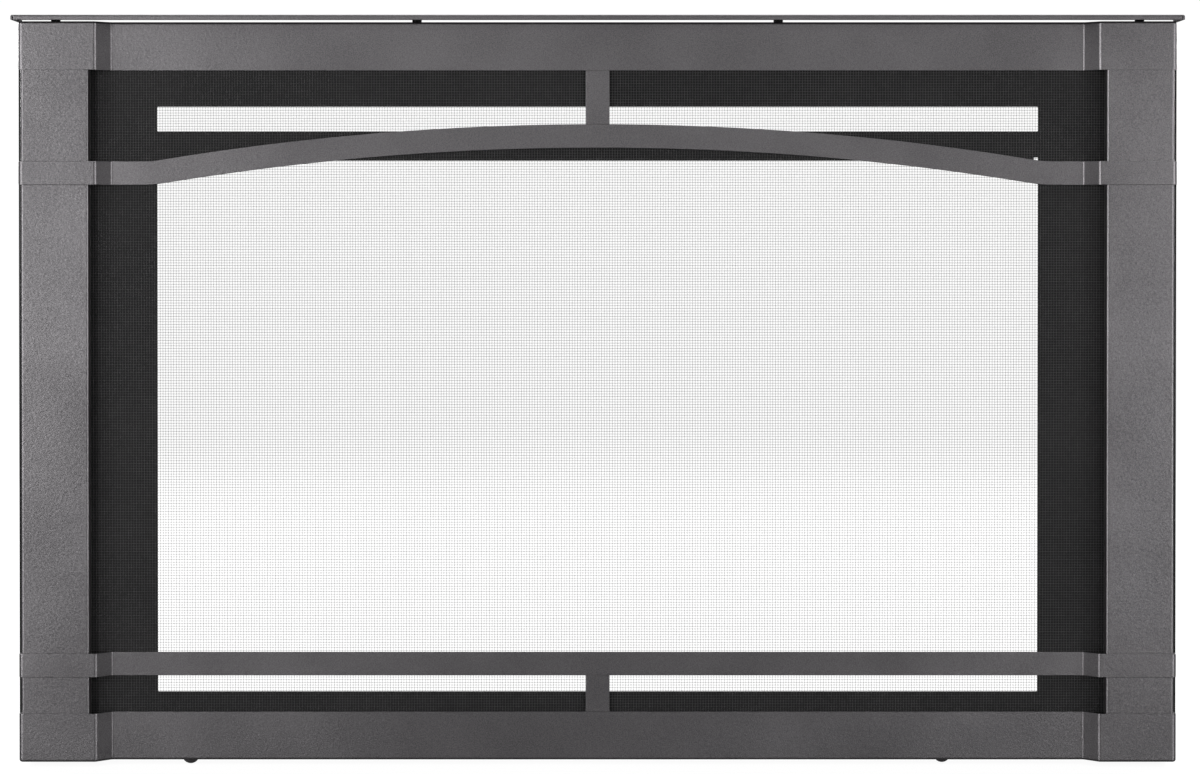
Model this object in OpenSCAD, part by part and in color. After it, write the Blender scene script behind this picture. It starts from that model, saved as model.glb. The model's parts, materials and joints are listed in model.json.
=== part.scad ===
// Fireplace screen front: a black sheet panel with two windows, covered by wire cloth, behind a
// powder-coated face of two columns, two jogged rails, an arched strap, a straight strap and a shelf.
// Millimetres. +Z is up, -Y is the front. The origin is at the bottom centre of the whole front.

/* [Face frame] */
// Width over the wrapped ends of the rails
rail_w = 912.4; // [800:0.1:1040]
// Height from the lower edge of the bottom rail to the upper edge of the top rail
frame_h = 583.7; // [560:0.1:680]
// Height of each rail
rail_h = 38.1; // [34:0.1:46]
// Sheet thickness of rails, straps and posts
face_t = 1.5; // [1.2:0.1:1.8]
// Outside radius of the long bend between a rail's face and its flange
flange_bend_r = 2; // [1.9:0.1:2.2]
// Depth of the rail flanges behind the recessed face
flange_depth = 22; // [20:0.5:28]

/* [Jogs in the rails and straps] */
// Length of the raised end, from the outer corner to the jog
raised_len = 60.8; // [58:0.1:66]
// How far the raised ends stand in front of the recessed middle
jog_depth = 12.8; // [11:0.1:16]
// Width of the sloping face of the jog
jog_run = 11.3; // [9:0.1:15]
// Inside radius of the jog and corner bends
jog_bend_r = 2; // [1.8:0.1:2.6]

/* [Straps and posts] */
// Height of both straps
strap_h = 18.6; // [14:0.1:22]
// Height of the post between the arched strap's crown and the top rail
upper_post_h = 42.5; // [20:0.1:90]
// Width of the arch between the ends of its curve
arch_chord = 704.2; // [660:0.1:720]
// Rise of the arch above its ends
arch_rise = 29.4; // [20:0.1:36]
// Radius that blends the arch into its straight ends
arch_blend_r = 80; // [40:1:120]
// Height of the post between the bottom rail and the straight strap
lower_post_h = 28.8; // [16:0.1:60]
// Width of the two centre posts
post_w = 18.6; // [14:0.1:24]

/* [Columns] */
// Width of a column cover
column_w = 53.8; // [50:0.1:58]
// Sheet thickness of a column cover
column_t = 1.2; // [1:0.1:1.4]
// Inside radius of the column bends
column_bend_r = 1; // [0.8:0.1:1.4]
// Width of the lips that turn in behind a column
column_lip = 10.5; // [9.5:0.1:12]

/* [Wire cloth] */
// Thickness of the wire cloth
cloth_t = 1; // [0.8:0.1:1.4]
// Width of one wire bar
wire_w = 1; // [0.8:0.1:2]
// Gaps across the cloth
cloth_columns = 21; // [12:1:22]
// Gaps up the cloth
cloth_rows = 13; // [8:1:13]
// Width of the strip that clamps each side of the cloth
strip_w = 20; // [19:0.5:22]
// Thickness of the clamping strip
strip_t = 1.2; // [1:0.1:1.5]
// Rivets in each strip
strip_rivet_count = 5; // [3:1:7]

/* [Back panel] */
// Sheet thickness of the panel
panel_t = 1.2; // [1:0.1:1.5]
// How far the panel shows beyond the rails on each side
panel_reveal = 1.7; // [1.6:0.1:4]
// Depth of the front behind the wire cloth
panel_depth = 32; // [28:0.5:44]
// Inside radius of the bends in the panel and its side brackets
panel_bend_r = 1.2; // [1:0.1:1.6]
// Width of both windows
window_w = 697; // [600:0.5:700]
// Distance of the main window above the bottom rail
window_margin = 15.8; // [14:0.1:24]
// Distance of the upper window below the top rail
upper_margin = 28.7; // [14:0.1:40]
// Height of the bar between the windows
crossbar_h = 23.2; // [16:0.1:26]
// Height of the upper window
upper_window_h = 19.4; // [14:0.1:22]
// Corner radius of the windows
window_corner_r = 1; // [0.6:0.1:3]
// Width of the relief notch in the main window's upper right corner
notch_w = 3.4; // [2:0.1:5]
// Height of the relief notch
notch_h = 2.5; // [1.5:0.1:4]

/* [Side brackets] */
// Sheet thickness of the side brackets
bracket_t = 1.5; // [1.2:0.1:2]
// Width of the lip that lies behind the panel
bracket_lip = 20; // [18:0.5:28]
// Width of the rear lip
rear_lip = 16; // [15:0.5:20]

/* [Top shelf] */
// How far the shelf reaches past the rails on each side
shelf_side = 5; // [4:0.1:12]
// How far the shelf reaches in front of the raised rail ends
shelf_front = 4; // [1:0.1:16]
// Sheet thickness of the shelf
shelf_t = 1.2; // [1:0.1:1.5]
// Height of the lips turned down round the shelf
shelf_lip_h = 3.8; // [3:0.1:12]
// Outside radius of the shelf's bends
shelf_bend_r = 1.4; // [1:0.1:2]
// Gap between the top rail and the shelf's lip
shelf_gap = 1; // [0.6:0.1:4]
// Relief slot between the front lip and each end lip
shelf_slot = 0.9; // [0.4:0.1:1.5]
// Distance of the outer spacers from the ends of the top rail
spacer_inset = 26.6; // [16:0.1:40]
// Diameter of a spacer
spacer_d = 7.5; // [6:0.1:9]
// Distance of the spacers behind the recessed rail face
spacer_back = 11; // [10:0.1:13]

/* [Fasteners] */
// Diameter of the welded studs under the shelf
shelf_stud_d = 4; // [3:0.1:5]
// Diameter of the welded studs behind the rails
rail_stud_d = 5; // [4:0.1:6]
// Distance of the inner rail studs from the middle of the front
rail_stud_inner = 110; // [60:1:200]
// Distance of the outer rail studs from the middle of the front
rail_stud_outer = 330; // [240:1:360]
// Distance of the column screws from the column's ends
column_screw_end = 40; // [20:1:80]
// Screws in each column
column_screw_count = 4; // [3:1:6]
// Diameter of the column screws
column_screw_d = 4; // [3:0.1:4.5]
// Diameter of the strip rivets
rivet_d = 3.2; // [2.4:0.1:4]

/* [Foot buttons] */
// Height of the domed head below the bottom rail
button_h = 3.6; // [3:0.1:6]
// Radius of the dome
dome_r = 7; // [6.5:0.1:9]
// Diameter of the button's shank
button_shank_d = 3.6; // [3:0.1:4]
// Distance of the left button from the middle of the front
left_button_x = 322.8; // [200:0.1:360]
// Distance of the left button behind the recessed rail face
left_button_back = 7; // [6.5:0.1:18]
// Distance of the right button from the middle of the front
right_button_x = 273.7; // [200:0.1:360]
// Distance of the right button behind the recessed rail face
right_button_back = 13.2; // [6.5:0.1:18]

/* [Hanging] */
// Diameter of the four fixing holes in the rear lips
fixing_hole_d = 6.5; // [5:0.1:8]
// Distance of the lower fixing holes above the bottom rail's lower edge
fixing_above = 60; // [40:1:90]
// Distance of the upper fixing holes below the top rail's upper edge
fixing_below = 63.7; // [40:0.1:76]
// Thickness of a hanging hook
hook_t = 2; // [1.5:0.1:3]
// Width of a hanging hook
hook_w = 15; // [13:0.5:16]
// Height of the hook's pad
hook_pad_h = 46; // [44:1:60]
// Gap between the pad and the tongue
hook_gap = 5; // [4:0.1:10]
// Length of the tongue
hook_tongue = 16; // [10:0.5:18]
// Distance of the hook pads' upper ends below the top rail's upper edge
hook_drop = 97.7; // [76:0.1:140]
// Distance of the lower screw above the pad's lower end
hook_screw_low = 7; // [6:0.5:8]
// Distance between the two screws of a hook
hook_screw_spacing = 14; // [12:0.5:15]
// Diameter of the hook screws
hook_screw_d = 4; // [3:0.1:4.5]

/* [Hidden] */
$fn = 64;
// Flat facets in a quarter bend, in a jog's bend and in the arch's curves
quarter_facets = 6;
jog_facets = 4;
blend_facets = 4;
arch_facets = 56;
// Clearance between neighbouring flat sheets, the room that the powder coat takes
fit = 0.2;
// Radial clearance of a shank in its hole
hole_fit = 0.2;
// Clearance between a column's ends and the rail flanges
column_end_fit = 0.6;
// Overshoot of a cutting tool
over = 1;
// Width of the cloth's border beyond the field of gaps, and its distance from the frame's edges
cloth_border = 1;
cloth_edge = 8;

graphite = [0.37, 0.365, 0.37];
black = [0.09, 0.09, 0.09];
zinc = [0.62, 0.62, 0.6];

// Depths in front of the cloth's middle plane, each a face that looks forward
recess_front = cloth_t / 2 + fit + face_t;
raised_front = recess_front + jog_depth;
column_front = raised_front - face_t - fit;
panel_front = -cloth_t / 2 - fit;
strip_front = cloth_t / 2 + fit + strip_t;
shelf_front_face = raised_front + shelf_front;
// Reach behind the cloth's middle plane
hook_rear = panel_depth + 2 * hook_t + hook_gap;
// The cloth's middle plane, set so that the whole front is centred on Y
cloth_y = (shelf_front_face - hook_rear) / 2;
rear_y = cloth_y + panel_depth;
panel_back_y = cloth_y - panel_front + panel_t;

// Heights
rail_z = button_h;
frame_top = rail_z + frame_h;
inner_low = rail_z + face_t + fit;
inner_high = frame_top - face_t - fit;
shelf_lip_z = frame_top + shelf_gap;
shelf_top = shelf_lip_z + shelf_lip_h;
lower_strap_z = rail_z + rail_h + lower_post_h;
crown_z = frame_top - rail_h - upper_post_h;
arch_end_z = crown_z - strap_h / 2 - arch_rise;
window_z = rail_z + rail_h + window_margin;
upper_window_z = frame_top - rail_h - upper_margin - upper_window_h;
window_top = upper_window_z - crossbar_h;
hook_z = frame_top - hook_drop - hook_pad_h;
arch_r = (pow(arch_chord / 2, 2) + pow(arch_rise, 2)) / (2 * arch_rise);
arch_centre_z = arch_end_z + arch_rise - arch_r;
blend_x = sqrt(2 * (arch_r + arch_blend_r) * arch_rise - pow(arch_rise, 2));
arch_angle = asin(blend_x / (arch_r + arch_blend_r));

// Half widths
panel_x = rail_w / 2 + panel_reveal;
column_x = rail_w / 2 - face_t - fit;
column_inner_x = column_x - column_w;
shelf_x = rail_w / 2 + shelf_side;
strip_x = column_inner_x + column_t + fit;
cloth_x = strip_x + strip_w - cloth_border;
cloth_low = rail_z + cloth_edge;
cloth_high = frame_top - cloth_edge;
field_x = column_inner_x + cloth_border / 2;
field_low = rail_z + rail_h - cloth_border / 2;
field_high = frame_top - rail_h + cloth_border / 2;
fixing_x = panel_x - rear_lip / 2;

// Fastener proportions, as parts of the shank's diameter: a nut's corner radius and height, a
// flange's radius and height, a domed head's radius and height, a rivet end's radius and height
nut_size = 0.97;
nut_height = 0.8;
flange_size = 1.1;
flange_height = 0.2;
head_size = 0.95;
head_height = 0.37;
rivet_end_size = 0.75;
rivet_end_height = 0.45;
function hex_r(d) = d * nut_size;
function nut_h(d) = d * nut_height;

// The jogged path of rails and straps, seen from above: [length, turn after it]
wrap_len = raised_front - panel_front - fit;
jog_angle = atan2(jog_depth, jog_run);
jog_len = norm([jog_depth, jog_run]);
recess_len = rail_w - 2 * (raised_len + jog_run);
band_path = [[wrap_len, 90], [raised_len, jog_angle], [jog_len, -jog_angle],
    [recess_len, -jog_angle], [jog_len, jog_angle], [raised_len, 90], [wrap_len, 0]];
band_start = [-rail_w / 2, cloth_y - panel_front - fit];
band_heading = -90;

// Folding: a path is a list of [length, turn], with lengths between sharp corners and turns in
// degrees, positive towards the inner face
function dir(a) = [cos(a), sin(a)];
function heading(path, a, i) = i == 0 ? a : heading(path, a, i - 1) + path[i - 1][1];
function corner(path, p, a, i) =
    i == 0 ? p : corner(path, p, a, i - 1) + path[i - 1][0] * dir(heading(path, a, i - 1));
function bend_radius(turn, t, r) = turn > 0 ? r + t : r;
function bend_facets(turn) = abs(turn) > 80 ? quarter_facets : jog_facets;
function bend_centre(path, p, a, t, r, i) =
    let (turn = path[i][1], h = heading(path, a, i), radius = bend_radius(turn, t, r))
    corner(path, p, a, i + 1) - radius * tan(abs(turn) / 2) * dir(h) + sign(turn) * radius * dir(h + 90);

// Stations along the outer face of a folded sheet: [point, direction towards the inner face]
function stations(path, p, a, t, r) =
    let (last = len(path) - 1)
    concat([[p, dir(a + 90)]],
        [for (i = [0:last - 1])
            let (turn = path[i][1], from = heading(path, a, i) - sign(turn) * 90, n = bend_facets(turn))
            for (k = [0:n])
                let (out = dir(from + turn * k / n))
                [bend_centre(path, p, a, t, r, i) + bend_radius(turn, t, r) * out, -sign(turn) * out]],
        [[corner(path, p, a, last + 1), dir(heading(path, a, last) + 90)]]);
function reversed(list) = [for (i = [len(list) - 1:-1:0]) list[i]];
function line_at(list, depth) = [for (s = list) s[0] + depth * s[1]];
function arc(centre, r, from, to, steps) =
    [for (k = [0:steps]) centre + r * dir(from + (to - from) * k / steps)];

// A folded sheet seen from above
module folded_outline(path, p, a, t, r) {
    list = stations(path, p, a, t, r);
    polygon(concat(line_at(list, 0), reversed(line_at(list, t))));
}

// The jogged band of rails and straps, seen from above
module jogged_outline() {
    folded_outline(band_path, band_start, band_heading, face_t, jog_bend_r);
}

// A band swept along the stations of a folded sheet. Its section is an outer and an inner line of
// [depth, height] points that pair up, so each end closes with four-sided faces from line to line
module swept(outer, inner, list) {
    section = concat(outer, reversed(inner));
    n = len(section);
    last = (len(list) - 1) * n;
    sides = [for (i = [0:len(list) - 2], j = [0:n - 1])
        [i * n + j, i * n + (j + 1) % n, (i + 1) * n + (j + 1) % n, (i + 1) * n + j]];
    pairs = [for (j = [0:n / 2 - 2]) [j, j + 1, n - 2 - j, n - 1 - j]];
    polyhedron(
        points = [for (s = list, q = section) concat(s[0] + q.x * s[1], [q.y])],
        faces = concat(sides, [for (f = pairs) reversed(f)], [for (f = pairs) [for (j = f) last + j]]));
}

// A rail with its flange at the top, standing on z = 0: the face and its long bend are swept along
// the jogs, and the flat flange starts just behind the bend
module rail_body() {
    list = stations(band_path, band_start, band_heading, face_t, jog_bend_r);
    lap = 0.3;
    centre = [flange_bend_r, rail_h - flange_bend_r];
    tail = flange_bend_r + 2 * lap;
    back_y = cloth_y - recess_front + flange_depth;
    edge = line_at(list, flange_bend_r + lap);
    swept(
        concat([[0, 0]], arc(centre, flange_bend_r, 180, 90, quarter_facets), [[tail, rail_h]]),
        concat([[face_t, 0]], arc(centre, flange_bend_r - face_t, 180, 90, quarter_facets),
            [[tail, rail_h - face_t]]),
        list);
    translate([0, 0, rail_h - face_t])
        linear_extrude(face_t)
            polygon(concat([[edge[0].x, back_y]], edge, [[-edge[0].x, back_y]]));
}

// Places of the four shelf studs
module at_shelf_studs() {
    outer = rail_w / 2 - spacer_inset;
    for (x = [-outer, -outer / 3, outer / 3, outer])
        translate([x, cloth_y - recess_front + spacer_back, 0]) children();
}

// Places of the studs behind the rails, turned to point backwards
module at_rail_studs() {
    rails = [rail_z + rail_h / 2, frame_top - rail_h / 2];
    for (side = [-1, 1], x = [rail_stud_inner, rail_stud_outer], z = rails)
        translate([side * x, cloth_y, z])
            rotate([-90, 0, 0]) children();
}

// Places of the rivets in both clamping strips, turned to point backwards
module at_strip_rivets() {
    first = cloth_low + 2 * cloth_edge;
    pitch = (cloth_high - cloth_low - 4 * cloth_edge) / (strip_rivet_count - 1);
    x = strip_x + strip_w - rivet_d - 2 * cloth_border;
    for (side = [-1, 1], i = [0:strip_rivet_count - 1])
        translate([side * x, cloth_y, first + i * pitch])
            rotate([-90, 0, 0]) children();
}

// Places of the column screws, turned to point backwards
module at_column_screws() {
    first = inner_low + column_screw_end;
    pitch = (inner_high - inner_low - 2 * column_screw_end) / (column_screw_count - 1);
    for (side = [-1, 1], i = [0:column_screw_count - 1])
        translate([side * (column_x - column_lip / 2 - column_t / 2), cloth_y, first + i * pitch])
            rotate([-90, 0, 0]) children();
}

// Places of the foot buttons
module at_buttons() {
    for (place = [[-left_button_x, left_button_back], [right_button_x, right_button_back]])
        translate([place.x, cloth_y - recess_front + place.y, 0]) children();
}

// Places of the hook screws, turned to point backwards
module at_hook_screws(sides = [-1, 1]) {
    for (side = sides, above = [0, hook_screw_spacing])
        translate([side * fixing_x, rear_y, hook_z + hook_screw_low + above])
            rotate([-90, 0, 0]) children();
}

// A shallow dome of a given height, standing on z = 0, cut from a sphere
module dome(r, h) {
    intersection() {
        translate([0, 0, h - r]) sphere(r);
        cylinder(h = h + over, r = r);
    }
}

// The domed head of a screw or rivet, standing on z = 0
module domed_head(d) {
    r = d * head_size;
    h = d * head_height;
    dome((r * r + h * h) / (2 * h), h);
}

// A hexagonal nut with its hole, standing on z = 0
module hex_nut(d) {
    difference() {
        cylinder(h = nut_h(d), r = hex_r(d), $fn = 6);
        translate([0, 0, -over]) cylinder(h = nut_h(d) + 2 * over, d = d + 2 * hole_fit);
    }
}

// The cloth's border is where its edge is pressed flat under the rails and the clamping strips
module mesh_screen() {
    cell_w = (2 * field_x - (cloth_columns + 1) * wire_w) / cloth_columns;
    cell_h = (field_high - field_low - (cloth_rows + 1) * wire_w) / cloth_rows;
    color(black)
        difference() {
            translate([0, cloth_y + cloth_t / 2, 0])
                rotate([90, 0, 0])
                    linear_extrude(cloth_t)
                        difference() {
                            translate([-cloth_x, cloth_low]) square([2 * cloth_x, cloth_high - cloth_low]);
                            for (i = [0:cloth_columns - 1], j = [0:cloth_rows - 1])
                                translate([-field_x + wire_w + i * (cell_w + wire_w),
                                    field_low + wire_w + j * (cell_h + wire_w)])
                                    square([cell_w, cell_h]);
                        }
            at_rail_studs() cylinder(h = cloth_t + 2 * over, d = rail_stud_d + 2 * hole_fit, center = true);
            at_strip_rivets() cylinder(h = cloth_t + 2 * over, d = rivet_d + 2 * hole_fit, center = true);
        }
}

// One clamping strip, on the right for side 1 and on the left for side -1
module mesh_strip(side) {
    color(black)
        difference() {
            translate([side > 0 ? strip_x : -strip_x - strip_w, cloth_y - strip_front, cloth_low])
                cube([strip_w, strip_t, cloth_high - cloth_low]);
            at_strip_rivets()
                translate([0, 0, -strip_front - over])
                    cylinder(h = strip_t + 2 * over, d = rivet_d + 2 * hole_fit);
        }
}

module left_mesh_strip() {
    mesh_strip(-1);
}

module right_mesh_strip() {
    mesh_strip(1);
}

// Rivets with a low dome in front and a formed end behind the panel
module strip_rivets() {
    back = panel_t - panel_front;
    end_h = rivet_d * rivet_end_height;
    color(zinc)
        at_strip_rivets() {
            translate([0, 0, -strip_front]) mirror([0, 0, 1]) domed_head(rivet_d);
            translate([0, 0, -strip_front]) cylinder(h = strip_front + back + end_h, d = rivet_d);
            translate([0, 0, back]) cylinder(h = end_h, r = rivet_d * rivet_end_size);
        }
}

// A window with rounded corners between two heights, cut through the panel
module window(low, high) {
    r = window_corner_r;
    half = window_w / 2;
    translate([0, panel_back_y + over, 0])
        rotate([90, 0, 0])
            linear_extrude(panel_t + 2 * over) {
                translate([-half + r, low]) square([window_w - 2 * r, high - low]);
                translate([-half, low + r]) square([window_w, high - low - 2 * r]);
                for (x = [r - half, half - r], z = [low + r, high - r])
                    translate([x, z]) circle(r);
            }
}

// The panel is one sheet, folded back along its top and bottom
module back_panel() {
    depth = panel_depth + panel_front;
    path = [[depth, 90], [inner_high - inner_low, 90], [depth, 0]];
    color(black)
        difference() {
            translate([-panel_x, 0, 0])
                rotate([90, 0, 90])
                    linear_extrude(2 * panel_x)
                        folded_outline(path, [rear_y, inner_high], 180, panel_t, panel_bend_r);
            window(window_z, window_top);
            window(upper_window_z, upper_window_z + upper_window_h);
            translate([window_w / 2 - notch_w, panel_back_y - panel_t - over, window_top - over])
                cube([notch_w, panel_t + 2 * over, notch_h + over]);
            at_rail_studs() cylinder(h = panel_depth / 2, d = rail_stud_d + 2 * hole_fit);
            at_strip_rivets() cylinder(h = panel_depth / 2, d = rivet_d + 2 * hole_fit);
            at_column_screws() cylinder(h = panel_depth / 2, d = column_screw_d + 2 * hole_fit);
            at_shelf_studs()
                translate([0, 0, inner_high - panel_t - over])
                    cylinder(h = panel_t + 2 * over, d = shelf_stud_d + 2 * hole_fit);
            at_buttons()
                translate([0, 0, inner_low - over])
                    cylinder(h = panel_t + 2 * over, d = button_shank_d + 2 * hole_fit);
        }
}

// A side bracket on the right: a channel behind the panel's edge, open towards the middle, whose rear
// lip takes the fixing screws and the hanging hook
module side_bracket() {
    front = panel_back_y + fit;
    path = [[bracket_lip, 90], [rear_y - front, 90], [rear_lip, 0]];
    low = inner_low + panel_t + fit;
    high = inner_high - panel_t - fit;
    difference() {
        translate([0, 0, low])
            linear_extrude(high - low)
                folded_outline(path, [panel_x - bracket_lip, front], 0, bracket_t, panel_bend_r);
        at_column_screws()
            translate([0, 0, panel_t - panel_front])
                cylinder(h = bracket_t + 2 * over, d = column_screw_d + 2 * hole_fit);
        at_hook_screws([1])
            translate([0, 0, -bracket_t - over])
                cylinder(h = bracket_t + 2 * over, d = hook_screw_d + 2 * hole_fit);
        for (z = [rail_z + fixing_above, frame_top - fixing_below])
            translate([fixing_x, rear_y + over, z])
                rotate([90, 0, 0])
                    cylinder(h = bracket_t + 2 * over, d = fixing_hole_d);
    }
}

module right_side_bracket() {
    color(black) side_bracket();
}

module left_side_bracket() {
    color(black) mirror([1, 0, 0]) side_bracket();
}

// A column cover: a deep channel with lips, the inner one resting on the clamping strip and the
// outer one on the panel
module column_cover() {
    inner_depth = column_front - strip_front - fit;
    outer_depth = column_front - panel_front - fit;
    path = [[column_lip, 90], [inner_depth, 90], [column_w, 90], [outer_depth, 90], [column_lip, 0]];
    start = [column_inner_x + column_lip, cloth_y - strip_front - fit];
    low = inner_low + column_end_fit;
    high = inner_high - column_end_fit;
    difference() {
        translate([0, 0, low])
            linear_extrude(high - low) folded_outline(path, start, 180, column_t, column_bend_r);
        at_column_screws()
            translate([0, 0, -strip_front])
                cylinder(h = strip_front + over, d = column_screw_d + 2 * hole_fit);
    }
}

module right_column() {
    color(graphite) column_cover();
}

module left_column() {
    color(graphite) mirror([1, 0, 0]) column_cover();
}

// Self-tapping screws through bracket and panel into the column, with flanged hexagon heads
module column_screws() {
    tip = 4;
    back = panel_t - panel_front + fit + bracket_t;
    flange_h = column_screw_d * flange_height;
    color(zinc)
        at_column_screws() {
            translate([0, 0, -tip]) cylinder(h = tip + back, d = column_screw_d);
            translate([0, 0, back]) cylinder(h = flange_h, r = column_screw_d * flange_size);
            translate([0, 0, back + flange_h])
                cylinder(h = nut_h(column_screw_d), r = hex_r(column_screw_d), $fn = 6);
        }
}

module top_rail() {
    color(graphite)
        difference() {
            translate([0, 0, frame_top - rail_h]) rail_body();
            at_shelf_studs()
                translate([0, 0, frame_top - face_t - over])
                    cylinder(h = face_t + 2 * over, d = shelf_stud_d + 2 * hole_fit);
        }
}

module bottom_rail() {
    color(graphite)
        difference() {
            translate([0, 0, rail_z + rail_h]) mirror([0, 0, 1]) rail_body();
            at_buttons()
                translate([0, 0, rail_z - over])
                    cylinder(h = face_t + 2 * over, d = button_shank_d + 2 * hole_fit);
        }
}

// Studs welded to the back of both rails, through the cloth and the panel
module rail_studs() {
    stud_len = 14;
    start = cloth_t / 2 + fit;
    color(zinc)
        at_rail_studs() translate([0, 0, -start]) cylinder(h = stud_len, d = rail_stud_d);
}

module rail_nuts() {
    color(zinc)
        at_rail_studs() translate([0, 0, panel_t - panel_front]) hex_nut(rail_stud_d);
}

// One edge of the arched strap from left to right, at an offset above its middle line
function arch_edge(offset) =
    let (blend_z = arch_end_z + arch_blend_r, curve = arc([0, arch_centre_z], arch_r + offset,
        90 + arch_angle, 90 - arch_angle, arch_facets))
    concat([[-rail_w / 2 - over, arch_end_z + offset]],
        arc([-blend_x, blend_z], arch_blend_r - offset, 270, 270 + arch_angle, blend_facets),
        [for (i = [1:arch_facets - 1]) curve[i]],
        arc([blend_x, blend_z], arch_blend_r - offset, 270 - arch_angle, 270, blend_facets),
        [[rail_w / 2 + over, arch_end_z + offset]]);

// The arched strap's front view, deep enough to cut the jogged band
module arch_cutter() {
    translate([0, cloth_y - panel_front + over, 0])
        rotate([90, 0, 0])
            linear_extrude(wrap_len + 2 * over)
                polygon(concat(arch_edge(strap_h / 2), reversed(arch_edge(-strap_h / 2))));
}

module arch_strap() {
    low = arch_end_z - strap_h;
    color(graphite)
        intersection() {
            translate([0, 0, low])
                linear_extrude(arch_rise + 2 * strap_h) jogged_outline();
            arch_cutter();
        }
}

module lower_strap() {
    color(graphite)
        translate([0, 0, lower_strap_z])
            linear_extrude(strap_h) jogged_outline();
}

// The upper post stands on the crown of the arch and ends at the top rail
module upper_center_post() {
    color(graphite)
        difference() {
            translate([-post_w / 2, cloth_y - recess_front, crown_z - strap_h / 2])
                cube([post_w, face_t, strap_h / 2 + upper_post_h]);
            arch_cutter();
        }
}

module lower_center_post() {
    color(graphite)
        translate([-post_w / 2, cloth_y - recess_front, rail_z + rail_h])
            cube([post_w, face_t, lower_post_h]);
}

// Front view of the shelf, with its two long top edges bent round
module shelf_end_view(half, height) {
    r = shelf_bend_r;
    translate([-half, 0]) square([2 * half, height - r]);
    translate([-half + r, 0]) square([2 * half - 2 * r, height]);
    for (x = [r - half, half - r])
        translate([x, height - r]) circle(r);
}

// Side view of the shelf, front on the left
module shelf_side_view(depth, height) {
    r = shelf_bend_r;
    square([depth, height - r]);
    translate([r, 0]) square([depth - r, height]);
    translate([r, height - r]) circle(r);
}

module top_shelf() {
    front_y = cloth_y - shelf_front_face;
    depth = rear_y - front_y;
    inner_h = shelf_lip_h - shelf_t;
    color(graphite)
        difference() {
            intersection() {
                translate([0, rear_y, shelf_lip_z])
                    rotate([90, 0, 0]) linear_extrude(depth) shelf_end_view(shelf_x, shelf_lip_h);
                translate([-shelf_x, front_y, shelf_lip_z])
                    rotate([90, 0, 90]) linear_extrude(2 * shelf_x) shelf_side_view(depth, shelf_lip_h);
            }
            translate([shelf_t - shelf_x, front_y + shelf_t, shelf_lip_z - over])
                cube([2 * (shelf_x - shelf_t), depth, inner_h + over]);
            for (x = [shelf_t - shelf_x, shelf_x - shelf_t - shelf_slot])
                translate([x, front_y - over, shelf_lip_z - over])
                    cube([shelf_slot, shelf_t + 2 * over, inner_h + over]);
        }
}

module shelf_spacers() {
    height = shelf_gap + shelf_lip_h - shelf_t;
    color(black)
        at_shelf_studs()
            translate([0, 0, frame_top])
                difference() {
                    cylinder(h = height, d = spacer_d);
                    translate([0, 0, -over])
                        cylinder(h = height + 2 * over, d = shelf_stud_d + 2 * hole_fit);
                }
}

// Studs welded under the shelf, through the spacers, the rail's flange and the panel's flange
module shelf_studs() {
    below = 5;
    low = inner_high - panel_t - nut_h(shelf_stud_d) - below;
    color(zinc)
        at_shelf_studs()
            translate([0, 0, low])
                cylinder(h = shelf_top - shelf_t - low, d = shelf_stud_d);
}

module shelf_nuts() {
    color(zinc)
        at_shelf_studs()
            translate([0, 0, inner_high - panel_t - nut_h(shelf_stud_d)]) hex_nut(shelf_stud_d);
}

// Domed buttons under the bottom rail, their shanks spread over a collar inside the panel
module foot_buttons() {
    collar_h = 1.2;
    collar_w = 0.8;
    collar_z = inner_low + panel_t;
    color(graphite)
        at_buttons() {
            translate([0, 0, rail_z]) mirror([0, 0, 1]) dome(dome_r, button_h);
            translate([0, 0, rail_z]) cylinder(h = collar_z + collar_h - rail_z, d = button_shank_d);
            translate([0, 0, collar_z]) cylinder(h = collar_h, r = button_shank_d / 2 + collar_w);
        }
}

// A hook behind the rear lip, open downwards
module hanging_hook(side) {
    path = [[hook_pad_h, -90], [hook_gap, -90], [hook_tongue, 0]];
    color(black)
        difference() {
            translate([side * fixing_x - hook_w / 2, 0, 0])
                rotate([90, 0, 90])
                    linear_extrude(hook_w)
                        folded_outline(path, [rear_y + hook_t, hook_z], 90, hook_t, hook_t / 2);
            at_hook_screws([side])
                translate([0, 0, -over])
                    cylinder(h = hook_t + 2 * over, d = hook_screw_d + 2 * hole_fit);
        }
}

module left_hanging_hook() {
    hanging_hook(-1);
}

module right_hanging_hook() {
    hanging_hook(1);
}

// Low domed screws through the hook and the rear lip
module hook_screws() {
    beyond_nut = 2;
    inside = bracket_t + nut_h(hook_screw_d) + beyond_nut;
    color(zinc)
        at_hook_screws() {
            translate([0, 0, hook_t]) domed_head(hook_screw_d);
            translate([0, 0, -inside]) cylinder(h = inside + hook_t, d = hook_screw_d);
        }
}

module hook_nuts() {
    color(zinc)
        at_hook_screws() translate([0, 0, -bracket_t - nut_h(hook_screw_d)]) hex_nut(hook_screw_d);
}

top_rail();
bottom_rail();
left_column();
right_column();
arch_strap();
lower_strap();
upper_center_post();
lower_center_post();
top_shelf();
shelf_spacers();
shelf_studs();
shelf_nuts();
back_panel();
left_side_bracket();
right_side_bracket();
mesh_screen();
left_mesh_strip();
right_mesh_strip();
strip_rivets();
rail_studs();
rail_nuts();
column_screws();
left_hanging_hook();
right_hanging_hook();
hook_screws();
hook_nuts();
foot_buttons();
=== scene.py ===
import json
from math import atan2, cos, hypot, pi, radians, sin, tan

import bmesh
import bpy
from mathutils import Matrix, Vector


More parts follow.
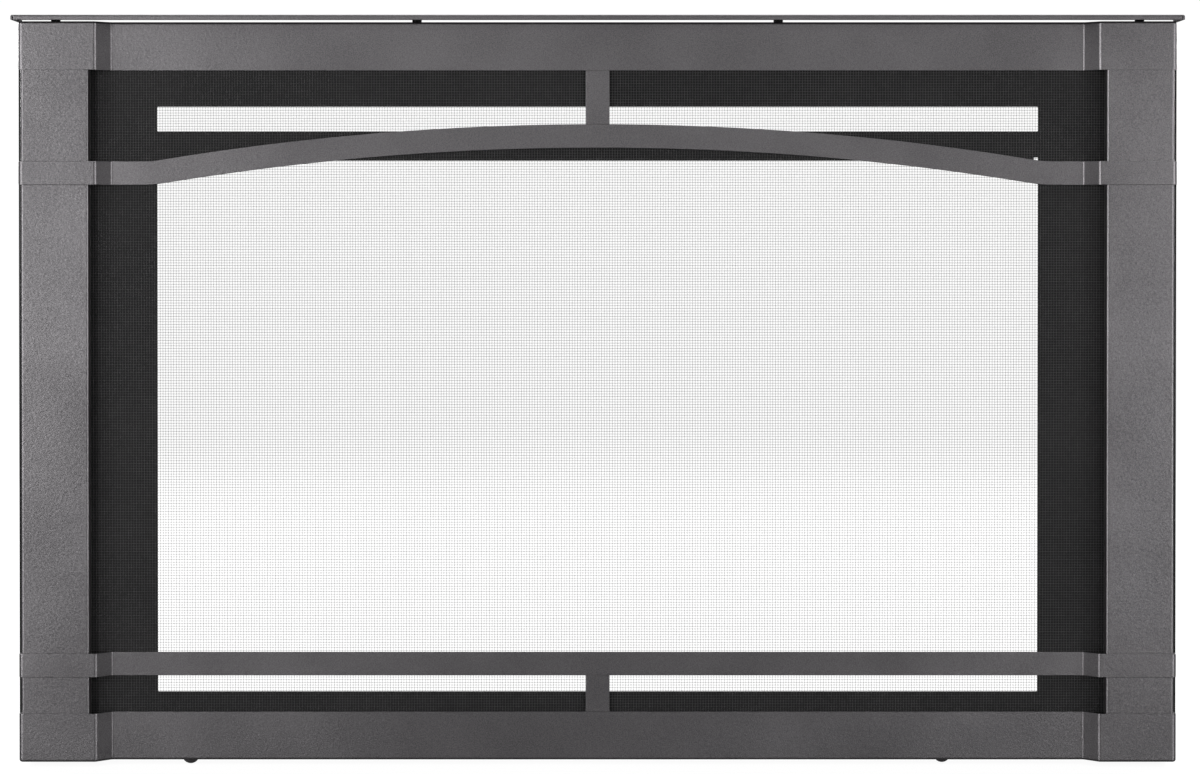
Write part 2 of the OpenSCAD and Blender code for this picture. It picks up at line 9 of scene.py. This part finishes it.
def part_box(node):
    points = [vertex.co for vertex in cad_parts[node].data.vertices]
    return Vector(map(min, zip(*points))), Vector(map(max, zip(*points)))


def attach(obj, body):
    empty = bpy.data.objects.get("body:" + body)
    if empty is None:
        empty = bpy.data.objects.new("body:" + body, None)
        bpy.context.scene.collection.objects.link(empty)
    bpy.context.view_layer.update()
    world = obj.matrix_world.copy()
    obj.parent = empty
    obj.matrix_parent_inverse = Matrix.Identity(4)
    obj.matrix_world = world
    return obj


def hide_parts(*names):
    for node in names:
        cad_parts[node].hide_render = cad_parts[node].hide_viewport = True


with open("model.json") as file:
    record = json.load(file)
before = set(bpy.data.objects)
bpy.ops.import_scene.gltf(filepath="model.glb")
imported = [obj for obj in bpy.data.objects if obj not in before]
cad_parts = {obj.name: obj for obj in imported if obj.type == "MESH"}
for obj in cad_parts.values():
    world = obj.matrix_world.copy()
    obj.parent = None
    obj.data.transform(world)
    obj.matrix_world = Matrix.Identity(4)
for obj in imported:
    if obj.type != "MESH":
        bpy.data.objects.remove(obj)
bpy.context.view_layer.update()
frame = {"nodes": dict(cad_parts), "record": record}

nodes = frame["nodes"]
MM = 0.001

# The camera: its distance from the cloth, its height, and the picture that it takes
PICTURE_W, PICTURE_H = 1200, 774
CLOTH_Y = (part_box("mesh_screen")[0].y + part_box("mesh_screen")[1].y) / 2
CAMERA_DISTANCE = 2.840
CAMERA_HEIGHT = 0.4215
FOCAL_PIXELS = 3590
HORIZON_PIXEL = 232
MIDDLE_PIXEL = 597.6
LOOKS_DOWN = radians(0.72)
SENSOR = 36.0

# Cut sheet edges, as the paint rounds them, and the angles that tell a flat face, an edge and a bend
SHEET_EDGE = 0.28 * MM
EDGE_SEGMENTS = 2
FLAT_WITHIN = radians(0.6)
EDGE_ABOVE = radians(50)
SMOOTH_BELOW = radians(38)

# The distance within which two vertices are one
WELD = 0.002 * MM

# The pieces of sheet that get rounded edges, by their finish
SHEET_PIECES = {
    "graphite": (
        "top_rail", "bottom_rail", "left_column", "right_column", "arch_strap", "lower_strap",
        "upper_center_post", "lower_center_post", "top_shelf", "foot_buttons",
    ),
    "black_sheet": (
        "back_panel", "left_side_bracket", "right_side_bracket", "left_mesh_strip",
        "right_mesh_strip", "left_hanging_hook", "right_hanging_hook", "shelf_spacers",
    ),
}

# Threads: the depth of a groove in pitches, and the radius and pitch of the sizes used
THREAD_DEPTH = 0.54
M5_R, M5_PITCH = 2.5 * MM, 0.8 * MM
M4_R, M4_PITCH = 2 * MM, 0.7 * MM
TAPPING_PITCH = 1.4 * MM

# Hexagons: from the middle to a corner, and the height of a nut or head
M5_CORNER_R, M5_HEX_H = 4.85 * MM, 4 * MM
M4_CORNER_R, M4_HEX_H = 3.88 * MM, 3.2 * MM

# The wire cloth: a plain weave, twelve wires to the inch, tucked in behind the rails and columns
WIRE_PITCH = 25.4 * MM / 12
WIRE_D = 0.24 * MM
WIRE_SIDES = 4
WIRES_IN_A_PIECE = 64
CLOTH_TUCK = 4 * MM

# The floor: flat, then bent up into a round wall that stands behind every camera
FLOOR_FLAT_R, FLOOR_BEND_R, WALL_H = 9.0, 2.0, 7.0
BEND_STEPS, WALL_STEPS = 8, 64
GLOW_NEAR, GLOW_FAR = (0.94, 0.94, 0.94), (1, 1, 1)
NEAR_R, FAR_R = 0.5, 2.5

# The soft boxes: where each stands, the point it faces, its width and height, and its watts
SOFT_BOXES = {
    "left_front_box": ((-1.6, -2.7, 0.7), (0, 0, 0.4), (0.5, 1.2), 24),
    "right_front_box": ((1.6, -2.7, 0.7), (0, 0, 0.4), (0.5, 1.2), 7.5),
    "left_low_box": ((-1.3, -2.9, 0.1), (0, 0, 0.3), (0.4, 0.8), 2.2),
    "right_low_box": ((1.3, -2.9, 0.1), (0, 0, 0.3), (0.4, 0.8), 5),
    "middle_box": ((0, -2.9, 0.9), (0, 0, 0.5), (0.4, 0.4), 1.6),
    "left_edge_box": ((-2.4, -1.6, 0.6), (0, 0, 0.3), (0.9, 1.8), 28),
    "right_edge_box": ((2.4, -1.6, 0.6), (0, 0, 0.3), (0.9, 1.8), 28),
    "left_under_box": ((-2.6, -2.6, -1.4), (0, 0, 0.3), (1.6, 1.6), 9),
    "right_under_box": ((2.6, -2.6, -1.4), (0, 0, 0.3), (1.6, 1.6), 9),
    "overhead_box": ((0, -0.5, 2.2), (0, -0.3, 0), (1.8, 0.5), 12),
    "left_rear_box": ((-2.2, 2.4, 1.4), (0, 0, 0.3), (1.4, 1.4), 110),
    "right_rear_box": ((2.2, 2.4, 1.4), (0, 0, 0.3), (1.4, 1.4), 110),
}
WORLD_STRENGTH = 0.10


class Value:
    """An output socket that takes part in sums"""

    def __init__(self, finish, socket):
        self.finish = finish
        self.socket = socket

    def maths(self, operation, a, b):
        return self.finish.node("ShaderNodeMath", {"operation": operation}, {0: a, 1: b})

    def __add__(self, other):
        return self.maths("ADD", self, other)

    def __radd__(self, other):
        return self.maths("ADD", other, self)

    def __mul__(self, other):
        return self.maths("MULTIPLY", self, other)

    def __rmul__(self, other):
        return self.maths("MULTIPLY", other, self)


class Finish:
    """A material, with one method that adds any node to it"""

    def __init__(self, name):
        self.material = bpy.data.materials.new(name)
        self.material.use_nodes = True
        self.tree = self.material.node_tree
        self.shader = self.tree.nodes["Principled BSDF"]

    def node(self, kind, settings=None, inputs=None, output=0):
        made = self.tree.nodes.new(kind)
        for name, value in (settings or {}).items():
            setattr(made, name, value)
        for name, value in (inputs or {}).items():
            self.feed(made.inputs[name], value)
        return Value(self, made.outputs[output])

    def feed(self, socket, value):
        if isinstance(value, Value):
            self.tree.links.new(value.socket, socket)
        else:
            socket.default_value = value

    def shade(self, **sockets):
        for name, value in sockets.items():
            self.feed(self.shader.inputs[name.replace("_", " ")], value)

    def place(self):
        return self.node("ShaderNodeTexCoord", output="Object")

    def noise(self, scale, detail=2.0, roughness=0.5):
        inputs = {"Vector": self.place(), "Scale": scale, "Detail": detail, "Roughness": roughness}
        return self.node("ShaderNodeTexNoise", None, inputs)

    def spread(self, value, low, high):
        inputs = {"Value": value, "From Min": low, "From Max": high}
        return self.node("ShaderNodeMapRange", {"clamp": True}, inputs)

    def blend(self, mask, first, second):
        settings = {"data_type": "RGBA", "blend_type": "MIX"}
        inputs = {"Factor": mask, 6: (*first, 1), 7: (*second, 1)}
        return self.node("ShaderNodeMix", settings, inputs, output=2)

    def bump(self, height, distance, strength):
        inputs = {"Height": height, "Distance": distance, "Strength": strength}
        return self.node("ShaderNodeBump", None, inputs)


def graphite_powder_coat():
    """A satin metallic charcoal powder coat: a softly pebbled skin with fine lighter grains"""
    coat = Finish("graphite_powder_coat")
    grain = coat.noise(scale=1300, detail=2.0, roughness=0.6)
    pebble = coat.noise(scale=480, detail=1.5, roughness=0.4)
    cloud = coat.noise(scale=11)
    tone = coat.spread(grain * 0.7 + cloud * 0.3, low=0.36, high=0.64)
    dark, light = (0.120, 0.115, 0.120), (0.232, 0.223, 0.231)
    coat.shade(
        Base_Color=coat.blend(tone, dark, light),
        Metallic=0.95,
        Roughness=0.31 + grain * 0.14,
        Normal=coat.bump(pebble * 0.75 + grain * 0.25, distance=0.17 * MM, strength=0.6),
    )
    return coat.material


def black_sheet_paint():
    """Matt black stove paint on sheet, faintly mottled"""
    paint = Finish("black_sheet_paint")
    grain = paint.noise(scale=700)
    cloud = paint.noise(scale=14, detail=3.0)
    tone = paint.spread(cloud, low=0.3, high=0.7)
    dark, light = (0.007, 0.007, 0.0075), (0.013, 0.0125, 0.013)
    paint.shade(
        Base_Color=paint.blend(tone, dark, light),
        Roughness=0.50 + grain * 0.16,
        Specular_IOR_Level=0.25,
        Normal=paint.bump(grain, distance=0.06 * MM, strength=0.5),
    )
    return paint.material


def black_wire_paint():
    """Satin black paint on the drawn wire"""
    paint = Finish("black_wire_paint")
    wear = paint.noise(scale=240)
    tone = paint.spread(wear, low=0.35, high=0.65)
    dark, light = (0.075, 0.073, 0.074), (0.115, 0.112, 0.114)
    paint.shade(
        Base_Color=paint.blend(tone, dark, light),
        Metallic=0.75,
        Roughness=0.30 + wear * 0.14,
    )
    return paint.material


def zinc_plate():
    """Bright zinc plating with a faint grain"""
    zinc = Finish("zinc_plate")
    cloud = zinc.noise(scale=420, detail=3.0)
    tone = zinc.spread(cloud, low=0.3, high=0.7)
    dark, light = (0.50, 0.50, 0.48), (0.66, 0.66, 0.65)
    zinc.shade(
        Base_Color=zinc.blend(tone, dark, light),
        Metallic=1.0,
        Roughness=0.24 + cloud * 0.18,
        Normal=zinc.bump(cloud, distance=0.02 * MM, strength=0.3),
    )
    return zinc.material


def piece(name, mesh_data, body="root"):
    """A new object at the origin, its place in its mesh, riding on a body"""
    made = bpy.data.objects.new(name, mesh_data)
    bpy.context.scene.collection.objects.link(made)
    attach(made, body)
    return made


def smooth_data(name, mesh):
    """A bmesh made into smooth-shaded mesh data; the bmesh is freed"""
    data = bpy.data.meshes.new(name)
    mesh.to_mesh(data)
    mesh.free()
    for face in data.polygons:
        face.use_smooth = True
    return data


def dressed(name, mesh, node, slot):
    """A bmesh made into the piece that stands for a CAD node, with its edges kept sharp"""
    data = smooth_data(name, mesh)
    data.set_sharp_from_angle(angle=SMOOTH_BELOW)
    data.materials.append(looks[slot])
    made = piece(name, data)
    even = made.modifiers.new("flat_faces_stay_flat", "WEIGHTED_NORMAL")
    even.keep_sharp = True
    even.weight = 100
    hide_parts(node)
    return made


def soft_edged(node, slot):
    """A copy of a CAD node with its sharp edges rounded, as paint rounds them"""
    mesh = bmesh.new()
    mesh.from_mesh(nodes[node].data)
    bmesh.ops.remove_doubles(mesh, verts=mesh.verts, dist=WELD)
    bmesh.ops.dissolve_limit(mesh, angle_limit=FLAT_WITHIN, verts=mesh.verts, edges=mesh.edges)
    sharp = [e for e in mesh.edges if len(e.link_faces) == 2 and e.calc_face_angle() > EDGE_ABOVE]
    bmesh.ops.bevel(mesh, geom=sharp, offset=SHEET_EDGE, offset_type="OFFSET", affect="EDGES",
                    segments=EDGE_SEGMENTS, profile=0.5, material=-1, clamp_overlap=True)
    return dressed(node + "_finished", mesh, node, slot)


def solid_boxes(node):
    """The lowest and highest corner of each separate solid of a CAD node"""
    mesh = bmesh.new()
    mesh.from_mesh(nodes[node].data)
    bmesh.ops.remove_doubles(mesh, verts=mesh.verts, dist=WELD)
    boxes, waiting = [], set(mesh.verts)
    while waiting:
        found = [waiting.pop()]
        for vert in found:
            for link in vert.link_edges:
                other = link.other_vert(vert)
                if other in waiting:
                    waiting.discard(other)
                    found.append(other)
        boxes.append([Vector([pick(v.co[i] for v in found) for i in range(3)]) for pick in (min, max)])
    mesh.free()
    return sorted(boxes, key=lambda box: (round(box[0].z, 4), round(box[0].x, 4)))


def turned(profile, steps=24, ring=False):
    """A profile of (radius, height) points turned about the z axis; a ring's profile is closed"""
    mesh = bmesh.new()
    verts = [mesh.verts.new((r, 0, z)) for r, z in profile]
    edges = [mesh.edges.new(pair) for pair in zip(verts, verts[1:])]
    if ring:
        edges.append(mesh.edges.new((verts[-1], verts[0])))
    bmesh.ops.spin(mesh, geom=verts + edges, cent=(0, 0, 0), axis=(0, 0, 1), angle=2 * pi,
                   steps=steps, use_merge=True)
    bmesh.ops.remove_doubles(mesh, verts=mesh.verts, dist=WELD / 2)
    bmesh.ops.recalc_face_normals(mesh, faces=mesh.faces)
    return mesh


def to_flat(corner_r):
    """From the middle of a hexagon to one of its flats"""
    return corner_r * cos(pi / 6)


def six_sided(mesh, corner_r, low, high, inner, outer):
    """Pulls what lies between two heights and two radii to the flats of a hexagon"""
    flat_r = to_flat(corner_r)
    for vert in mesh.verts:
        r = hypot(vert.co.x, vert.co.y)
        if low < vert.co.z < high and inner < r < outer:
            turn = atan2(vert.co.y, vert.co.x) % (pi / 3) - pi / 6
            vert.co.x *= flat_r / cos(turn) / r
            vert.co.y *= flat_r / cos(turn) / r
    return mesh


def groove_r(r, pitch):
    """The radius at the bottom of a thread's groove"""
    return r - THREAD_DEPTH * pitch


def thread(r, low, high, pitch):
    """Ridges and grooves from one height to another, as points of a profile"""
    count = int((high - low) / pitch)
    points = []
    for k in range(count):
        points += [(groove_r(r, pitch), low + k * pitch), (r, low + (k + 0.5) * pitch)]
    return points + [(groove_r(r, pitch), low + count * pitch)]


def nut(corner_r, height, bore_r):
    """A hexagonal nut with chamfered corners and a countersunk bore"""
    chamfer, sink = 0.12 * height, 0.35 * MM
    washer_r = to_flat(corner_r) * 0.97
    mesh = turned([
        (bore_r, sink), (bore_r + sink, 0), (washer_r, 0), (corner_r, chamfer),
        (corner_r, height - chamfer), (washer_r, height), (bore_r + sink, height),
        (bore_r, height - sink),
    ], ring=True)
    return six_sided(mesh, corner_r, low=-1, high=1, inner=corner_r * 0.99, outer=1)


def threaded_stud(r, length, pitch):
    """A stud with a thread and a chamfered end"""
    groove = groove_r(r, pitch)
    ridges = thread(r, 0.5 * pitch, length - 0.8 * pitch, pitch)
    return turned([(0, 0), (groove, 0)] + ridges + [(groove, length), (0, length)], steps=16)


def dome(r, height, steps, base=0):
    """Points of a shallow dome from its rim to near its top"""
    angles = [pi / 2 * k / steps for k in range(steps)]
    return [(r * cos(angle), base + height * sin(angle)) for angle in angles]


def rivet(length, r, head_r, head_h, end_h):
    """A rivet with a domed head at z = 0 and a rolled end with a dimple"""
    end_r = 1.5 * r
    head = [(a, head_h - b) for a, b in dome(head_r, head_h, 6)]
    shank = [(r, head_h), (r, length - end_h)]
    rolled_end = [
        (end_r, length - end_h), (end_r, length - 0.35 * end_h), (0.75 * end_r, length),
        (0.45 * end_r, length), (0.25 * end_r, length - 0.4 * end_h), (0, length - 0.45 * end_h),
    ]
    return turned([(0, 0)] + head[::-1] + shank + rolled_end, steps=20)


def tapping_screw(length, r, flange_r, flange_h, corner_r, head_h):
    """A self-tapping screw with a flanged hexagon head, its point at z = 0"""
    seat = length - flange_h - head_h
    top = length - 0.08 * head_h
    flat_r = to_flat(corner_r)
    point = [(0, 0), (0.5 * r, 0.4 * r)]
    ridges = thread(r, 0.6 * r, seat - 0.3 * r, TAPPING_PITCH)
    flange = [(r, seat), (flange_r, seat), (flange_r, seat + 0.5 * flange_h)]
    head = [
        (corner_r * 1.02, seat + flange_h), (corner_r, seat + flange_h * 1.02),
        (corner_r, top - 0.1 * head_h), (flat_r * 0.96, length), (0.55 * flat_r, length),
        (0.45 * flat_r, top), (0, top),
    ]
    mesh = turned(point + ridges + flange + head)
    return six_sided(mesh, corner_r, low=seat + flange_h * 1.01, high=top,
                     inner=corner_r * 0.99, outer=corner_r * 1.01)


def button_screw(length, r, head_r, head_h, pitch):
    """A domed screw with a hexagon socket, its end at z = 0"""
    seat = length - head_h
    socket_r = 0.38 * head_r
    ridges = thread(r, 0.3 * pitch, seat - 0.5 * pitch, pitch)
    cap = [point for point in dome(head_r, head_h, 8, seat) if point[0] > socket_r * 1.15]
    socket = [
        (socket_r * 1.1, length), (socket_r, length - 0.1 * head_h),
        (socket_r, length - 0.75 * head_h), (0, length - 0.8 * head_h),
    ]
    mesh = turned([(0, 0), (groove_r(r, pitch), 0)] + ridges + [(r, seat)] + cap + socket)
    return six_sided(mesh, socket_r, low=length - 0.8 * head_h, high=length - 0.05 * head_h,
                     inner=socket_r * 0.9, outer=socket_r * 1.05)


def set_out(name, node, pattern, backwards=True):
    """Copies a zinc-plated fastener, made along z from 0, to each solid of a CAD node"""
    one = bpy.data.meshes.new("one_" + name)
    pattern.to_mesh(one)
    pattern.free()
    mesh = bmesh.new()
    for low, high in solid_boxes(node):
        middle = (low + high) / 2
        if backwards:
            lay = Matrix.Rotation(-pi / 2, 4, "X")
            place = Matrix.Translation((middle.x, low.y, middle.z)) @ lay
        else:
            place = Matrix.Translation((middle.x, middle.y, low.z))
        start = len(mesh.verts)
        mesh.from_mesh(one)
        mesh.verts.ensure_lookup_table()
        bmesh.ops.transform(mesh, matrix=place, verts=mesh.verts[start:])
    bpy.data.meshes.remove(one)
    return dressed(name, mesh, node, "zinc")


def set_out_fasteners():
    """Every stud, nut, rivet and screw, each over the plain shank that stands for it in CAD"""
    set_out("rail_studs_threaded", "rail_studs",
            threaded_stud(r=M5_R, length=14 * MM, pitch=M5_PITCH))
    set_out("rail_nuts_chamfered", "rail_nuts",
            nut(corner_r=M5_CORNER_R, height=M5_HEX_H, bore_r=2.7 * MM))
    set_out("shelf_studs_threaded", "shelf_studs",
            threaded_stud(r=M4_R, length=14.7 * MM, pitch=M4_PITCH), backwards=False)
    set_out("shelf_nuts_chamfered", "shelf_nuts",
            nut(corner_r=M4_CORNER_R, height=M4_HEX_H, bore_r=2.2 * MM), backwards=False)
    set_out("strip_rivets_formed", "strip_rivets",
            rivet(length=6.42 * MM, r=1.6 * MM, head_r=3.04 * MM, head_h=1.18 * MM, end_h=1.44 * MM))
    set_out("column_screws_flanged", "column_screws",
            tapping_screw(length=11.6 * MM, r=2 * MM, flange_r=4.4 * MM, flange_h=0.8 * MM,
                          corner_r=M4_CORNER_R, head_h=M4_HEX_H))
    set_out("hook_screws_socketed", "hook_screws",
            button_screw(length=10.18 * MM, r=M4_R, head_r=3.8 * MM, head_h=1.48 * MM, pitch=M4_PITCH))
    set_out("hook_nuts_chamfered", "hook_nuts",
            nut(corner_r=M4_CORNER_R, height=M4_HEX_H, bore_r=2.2 * MM))


def bent_wire(crossings):
    """One wire along z, bent over and under at each crossing: a ring extruded between crossings"""
    mesh = bmesh.new()
    made = bmesh.ops.create_circle(mesh, segments=WIRE_SIDES, radius=WIRE_D / 2, cap_ends=True)
    bmesh.ops.translate(mesh, verts=made["verts"], vec=(0, -WIRE_D / 2, 0))
    edges = mesh.edges[:]
    for k in range(crossings - 1):
        grown = bmesh.ops.extrude_edge_only(mesh, edges=edges)["geom"]
        edges = [g for g in grown if isinstance(g, bmesh.types.BMEdge)]
        ring = [g for g in grown if isinstance(g, bmesh.types.BMVert)]
        sway = WIRE_D if k % 2 == 0 else -WIRE_D
        bmesh.ops.translate(mesh, verts=ring, vec=(0, sway, WIRE_PITCH))
    bmesh.ops.contextual_create(mesh, geom=edges)
    bmesh.ops.recalc_face_normals(mesh, faces=mesh.faces)
    return mesh


def whole(mesh):
    """All the vertices, edges and faces of a bmesh"""
    return mesh.verts[:] + mesh.edges[:] + mesh.faces[:]


def reach(element):
    """How far right a vertex, edge or face reaches"""
    if isinstance(element, bmesh.types.BMVert):
        return element.co.x
    return max(v.co.x for v in element.verts)


def copied(mesh, geom, move, mirrored=False):
    """Copies geometry and moves the copy, turned front to back for the next wire of the weave"""
    made = bmesh.ops.duplicate(mesh, geom=geom)["geom"]
    verts = [g for g in made if isinstance(g, bmesh.types.BMVert)]
    if mirrored:
        bmesh.ops.scale(mesh, verts=verts, vec=(1, -1, 1))
        bmesh.ops.reverse_faces(mesh, faces=[g for g in made if isinstance(g, bmesh.types.BMFace)])
    bmesh.ops.translate(mesh, verts=verts, vec=move)


def wire_bundle(crossings, wires):
    """Wires side by side along x, each the opposite of its neighbour, doubled until there are enough"""
    mesh = bent_wire(crossings)
    copied(mesh, whole(mesh), (WIRE_PITCH, 0, 0), mirrored=True)
    made = 2
    while made * 2 <= wires:
        copied(mesh, whole(mesh), (made * WIRE_PITCH, 0, 0))
        made *= 2
    limit = (wires - made) * WIRE_PITCH
    left = [g for g in whole(mesh) if reach(g) < limit - WIRE_PITCH / 2]
    if left:
        copied(mesh, left, (made * WIRE_PITCH, 0, 0))
    return mesh


def weave_cloth():
    """The wire cloth over the whole field between rails and columns, as bundles of bent wires"""
    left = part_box("left_column")[1].x - CLOTH_TUCK
    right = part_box("right_column")[0].x + CLOTH_TUCK
    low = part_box("bottom_rail")[1].z - CLOTH_TUCK
    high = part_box("top_rail")[0].z + CLOTH_TUCK
    across = int((right - left) / WIRE_PITCH)
    up = int((high - low) / WIRE_PITCH)
    corner = Vector(((left + right - (across - 1) * WIRE_PITCH) / 2, CLOTH_Y,
                     (low + high - (up - 1) * WIRE_PITCH) / 2))
    lay = Matrix.Rotation(radians(90), 4, "Y") @ Matrix.Rotation(radians(180), 4, "Z")
    for label, count, crossings in (("upright", across, up), ("level", up, across)):
        for bundle, start in enumerate(range(0, count, WIRES_IN_A_PIECE)):
            mesh = wire_bundle(crossings, min(WIRES_IN_A_PIECE, count - start))
            if label == "upright":
                place = Matrix.Translation(corner + Vector((start * WIRE_PITCH, 0, 0)))
            else:
                place = Matrix.Translation(corner + Vector((0, 0, start * WIRE_PITCH))) @ lay
            bmesh.ops.transform(mesh, matrix=place, verts=mesh.verts)
            data = smooth_data("cloth", mesh)
            data.materials.append(looks["black_wire"])
            wires = piece(f"cloth_{label}_wires_{bundle + 1}", data)
            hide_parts("mesh_screen")


def set_camera():
    """The photograph's view: nearly level, with the rest of the framing left to the shift"""
    data = bpy.data.cameras.new("camera")
    camera = bpy.data.objects.new("camera", data)
    bpy.context.scene.collection.objects.link(camera)
    data.sensor_width = SENSOR
    data.lens = SENSOR * FOCAL_PIXELS / PICTURE_W
    data.shift_x = (PICTURE_W / 2 - MIDDLE_PIXEL) / PICTURE_W
    data.shift_y = (HORIZON_PIXEL + FOCAL_PIXELS * tan(LOOKS_DOWN) - PICTURE_H / 2) / PICTURE_W
    camera.location = (0, CLOTH_Y - CAMERA_DISTANCE, CAMERA_HEIGHT)
    camera.rotation_euler = (radians(90) - LOOKS_DOWN, 0, 0)
    bpy.context.scene.camera = camera


def soft_box(name, place, aim, size, power):
    """A rectangle of light that the camera itself doesn't see"""
    data = bpy.data.lights.new(name, "AREA")
    data.shape = "RECTANGLE"
    data.size, data.size_y = size
    data.energy = power
    lamp = bpy.data.objects.new(name, data)
    bpy.context.scene.collection.objects.link(lamp)
    lamp.location = place
    lamp.rotation_euler = (Vector(aim) - Vector(place)).to_track_quat("-Z", "Y").to_euler()
    lamp.visible_camera = False


def white_floor():
    """A glowing white floor and round wall that only the camera sees, a little dimmer near the middle"""
    bend = []
    for k in range(BEND_STEPS + 1):
        turn = k * pi / (2 * BEND_STEPS)
        bend.append((FLOOR_FLAT_R + FLOOR_BEND_R * sin(turn), FLOOR_BEND_R - FLOOR_BEND_R * cos(turn)))
    rim = (FLOOR_FLAT_R + FLOOR_BEND_R, WALL_H)
    mesh = turned([(0, 0)] + bend + [rim], steps=WALL_STEPS)
    if mesh.faces[0].normal.z < 0:
        bmesh.ops.reverse_faces(mesh, faces=mesh.faces)
    data = smooth_data("floor", mesh)
    floor = bpy.data.objects.new("floor", data)
    bpy.context.scene.collection.objects.link(floor)
    pale = Finish("white_floor")
    distance = pale.node("ShaderNodeVectorMath", {"operation": "LENGTH"}, {0: pale.place()}, output=1)
    pale.shade(
        Base_Color=(0.08, 0.08, 0.08, 1),
        Roughness=0.9,
        Emission_Color=pale.blend(pale.spread(distance, NEAR_R, FAR_R), GLOW_NEAR, GLOW_FAR),
        Emission_Strength=1.0,
    )
    data.materials.append(pale.material)
    floor.visible_diffuse = floor.visible_glossy = floor.visible_shadow = False


def white_world():
    """A faint even white from all round"""
    world = bpy.data.worlds.new("studio")
    bpy.context.scene.world = world
    world.use_nodes = True
    background = world.node_tree.nodes["Background"]
    background.inputs["Color"].default_value = (1, 1, 1, 1)
    background.inputs["Strength"].default_value = WORLD_STRENGTH


looks = {
    "graphite": graphite_powder_coat(),
    "black_sheet": black_sheet_paint(),
    "black_wire": black_wire_paint(),
    "zinc": zinc_plate(),
}

for slot, names in SHEET_PIECES.items():
    for name in names:
        soft_edged(name, slot)
set_out_fasteners()

slots = {s["node"]: s["material_slot"] for s in frame["record"]["subparts"]}
for name, node in nodes.items():
    node.data.materials.clear()
    node.data.materials.append(looks[slots[name]])

weave_cloth()

set_camera()
white_floor()
bpy.context.scene.view_settings.view_transform = "Standard"
for name, (place, aim, size, power) in SOFT_BOXES.items():
    soft_box(name, place, aim, size, power)
white_world()
